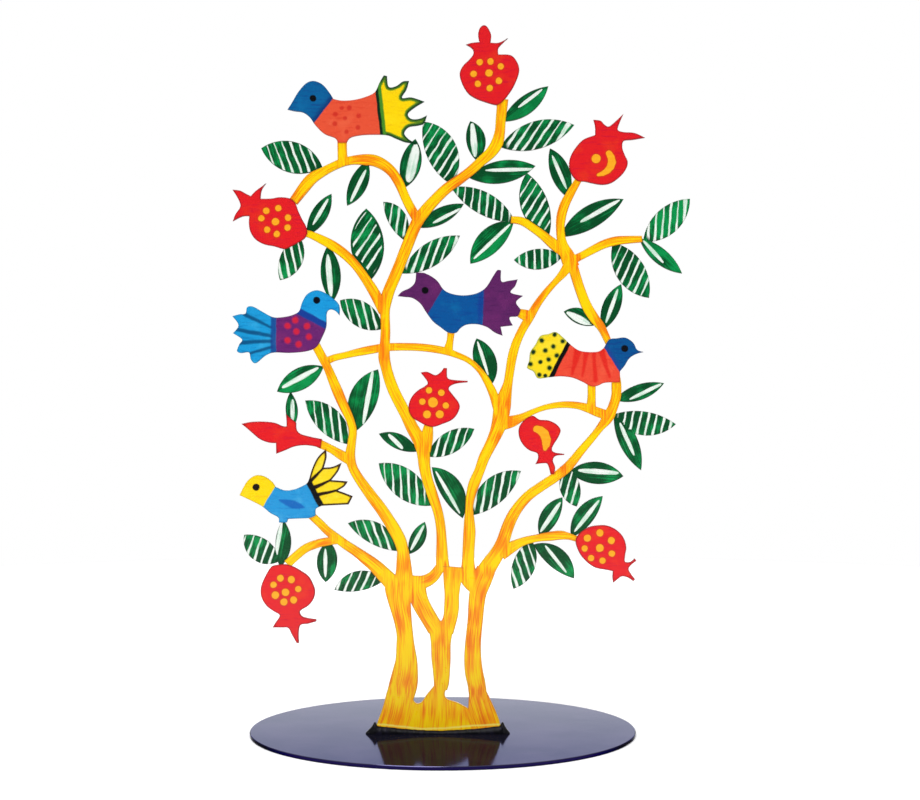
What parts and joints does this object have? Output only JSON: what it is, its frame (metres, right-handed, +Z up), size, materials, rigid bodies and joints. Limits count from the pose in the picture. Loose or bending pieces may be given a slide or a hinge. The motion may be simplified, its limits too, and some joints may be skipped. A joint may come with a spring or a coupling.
{
  "type": "tree of life stand",
  "caption": "Flat cut-out tree of life in painted sheet metal with birds, pomegranates and leaves, standing on a round disc base.",
  "frame": {"origin": "middle of the round base's underside", "axes": "+Z up, the painted face of the tree towards -Y, +X to the right of someone looking at that face"},
  "size_m": [0.2363, 0.202, 0.368],
  "materials": {
    "bark_gold": "gloss enamel, brushed",
    "disc_enamel": "gloss enamel",
    "bird_blue": "gloss enamel, brushed",
    "bird_coral": "gloss enamel, brushed",
    "weld_black": "gloss enamel over weld",
    "leaf_green": "gloss enamel, brushed",
    "fruit_red": "gloss enamel, brushed",
    "bird_red": "gloss enamel, brushed",
    "bird_sky": "gloss enamel, brushed",
    "bird_violet": "gloss enamel, brushed"
  },
  "bodies": {
    "root": {"arc_bough": "bark_gold", "arch_bough": "bark_gold", "base_disc": "disc_enamel", "blue_bird": "bird_blue", "bud_twig": "bark_gold", "centre_stem": "bark_gold", "coral_bird": "bird_coral", "cross_bough": "bark_gold", "crown_limb": "bark_gold", "drop_limb": "bark_gold", "foot_weld": "weld_black", "fruit_twig": "bark_gold", "inner_limb": "bark_gold", "inner_upper_limb": "bark_gold", "leaves_arch": "leaf_green", "leaves_bud": "leaf_green", "leaves_crown_limb": "leaf_green", "leaves_drop": "leaf_green", "leaves_fruit_twig": "leaf_green", "leaves_inner": "leaf_green", "leaves_left_limb": "leaf_green", "leaves_left_stem": "leaf_green", "leaves_left_twig": "leaf_green", "leaves_low_branch": "leaf_green", "leaves_low_fruit": "leaf_green", "leaves_lower_arch": "leaf_green", "leaves_middle_high": "leaf_green", "leaves_middle_low": "leaf_green", "leaves_right_bow": "leaf_green", "leaves_right_low": "leaf_green", "leaves_right_twig": "leaf_green", "leaves_shoulder": "leaf_green", "leaves_top": "leaf_green", "leaves_top_limb": "leaf_green", "leaves_upper_limb": "leaf_green", "left_bough": "bark_gold", "left_limb": "bark_gold", "left_stem": "bark_gold", "left_twig": "bark_gold", "low_left_branch": "bark_gold", "lower_arch": "bark_gold", "middle_limb": "bark_gold", "pomegranate_centre": "fruit_red", "pomegranate_inner_right": "fruit_red", "pomegranate_left": "fruit_red", "pomegranate_lower_left": "fruit_red", "pomegranate_lower_right": "fruit_red", "pomegranate_top": "fruit_red", "pomegranate_upper_right": "fruit_red", "red_bird": "bird_red", "red_bud": "fruit_red", "right_bow": "bark_gold", "right_limb": "bark_gold", "right_stem": "bark_gold", "right_twig": "bark_gold", "root_foot": "bark_gold", "sky_bird": "bird_sky", "upper_limb": "bark_gold", "violet_bird": "bird_violet"}
  },
  "joints": []
}
